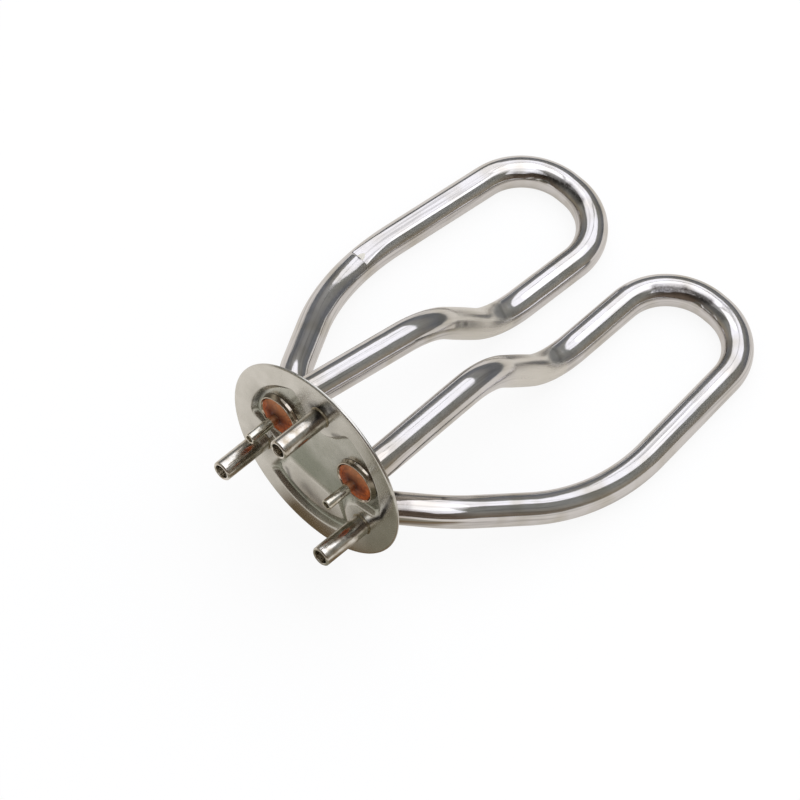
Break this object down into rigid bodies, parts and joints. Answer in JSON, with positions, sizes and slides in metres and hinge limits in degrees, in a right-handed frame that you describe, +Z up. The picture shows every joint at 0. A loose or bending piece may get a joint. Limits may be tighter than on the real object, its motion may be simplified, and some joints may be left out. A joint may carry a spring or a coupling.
{
  "type": "tubular heating element",
  "caption": "Immersion heating element: a pressed round head plate with hollow fixing studs and sealed terminal pins carries one bent sheath tube in a pair of hairpin loops.",
  "frame": {"origin": "centre of the round head plate, on the dry face of its flat rim", "axes": "+X to the right when looking at the dry side, +Y from the plate into the water along the tubes, +Z up, towards the single stud"},
  "size_m": [0.0888, 0.1259, 0.0512],
  "materials": {
    "plate_steel": "satin pressed stainless steel",
    "sheath_plating": "bright plated tube, dull where it was pressed",
    "stud_steel": "bright turned steel",
    "terminal_steel": "bright plated steel",
    "seal_silicone": "glossy orange-red silicone",
    "bead_ceramic": "matt fired ceramic",
    "magnesia_powder": "packed white powder",
    "winding_wire": "oxidised resistance wire",
    "braze_metal": "dull silver braze"
  },
  "bodies": {
    "root": {"head_plate": "plate_steel", "sheath_tube": "sheath_plating", "magnesia_fill": "magnesia_powder", "resistance_coil": "winding_wire", "terminal_pin_left": "terminal_steel", "end_seal_left": "seal_silicone", "insulating_bead_left": "bead_ceramic", "leg_braze_left": "braze_metal", "terminal_pin_right": "terminal_steel", "end_seal_right": "seal_silicone", "insulating_bead_right": "bead_ceramic", "leg_braze_right": "braze_metal", "fixing_stud_top": "stud_steel", "stud_braze_top": "braze_metal", "fixing_stud_left": "stud_steel", "stud_braze_left": "braze_metal", "fixing_stud_right": "stud_steel", "stud_braze_right": "braze_metal", "return_braze": "braze_metal"}
  },
  "joints": []
}
